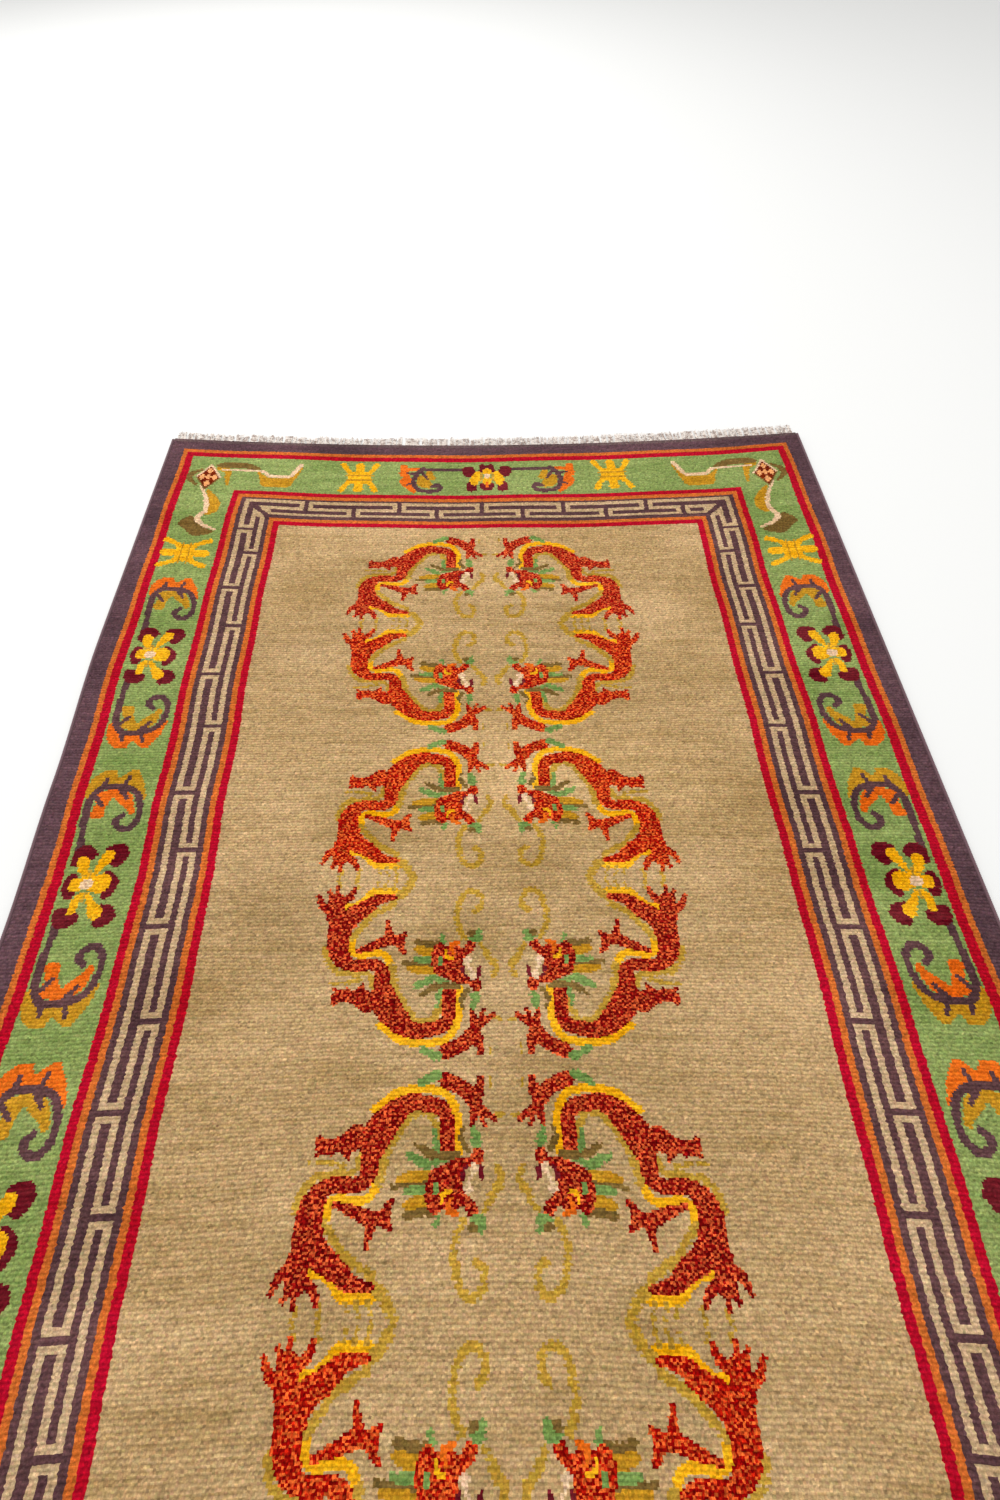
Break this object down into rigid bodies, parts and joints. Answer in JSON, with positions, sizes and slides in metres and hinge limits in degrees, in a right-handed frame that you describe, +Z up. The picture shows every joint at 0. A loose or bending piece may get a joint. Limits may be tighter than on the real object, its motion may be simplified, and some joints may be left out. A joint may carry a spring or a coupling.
{
  "type": "hand-knotted pile rug with fringe",
  "caption": "Flat hand-knotted pile rug with overcast sides and a short cut fringe at each end, to lie on a floor.",
  "frame": {"origin": "on the floor, under the middle of the rug's box", "axes": "+Z up, +X across the rug, +Y along it towards the end that is far from the picture's camera"},
  "size_m": [1.2198, 1.95, 0.011],
  "materials": {
    "pile": "clipped wool and silk pile, in beige, green, plum, red, orange and gold knots",
    "side_binding": "plum wool overcasting, wound close",
    "fringe": "undyed cotton warp ends, cut and a little frayed"
  },
  "bodies": {
    "root": {"rug_body": "pile", "side_binding_left": "side_binding", "side_binding_right": "side_binding", "fringe_far": "fringe", "fringe_near": "fringe"}
  },
  "joints": []
}
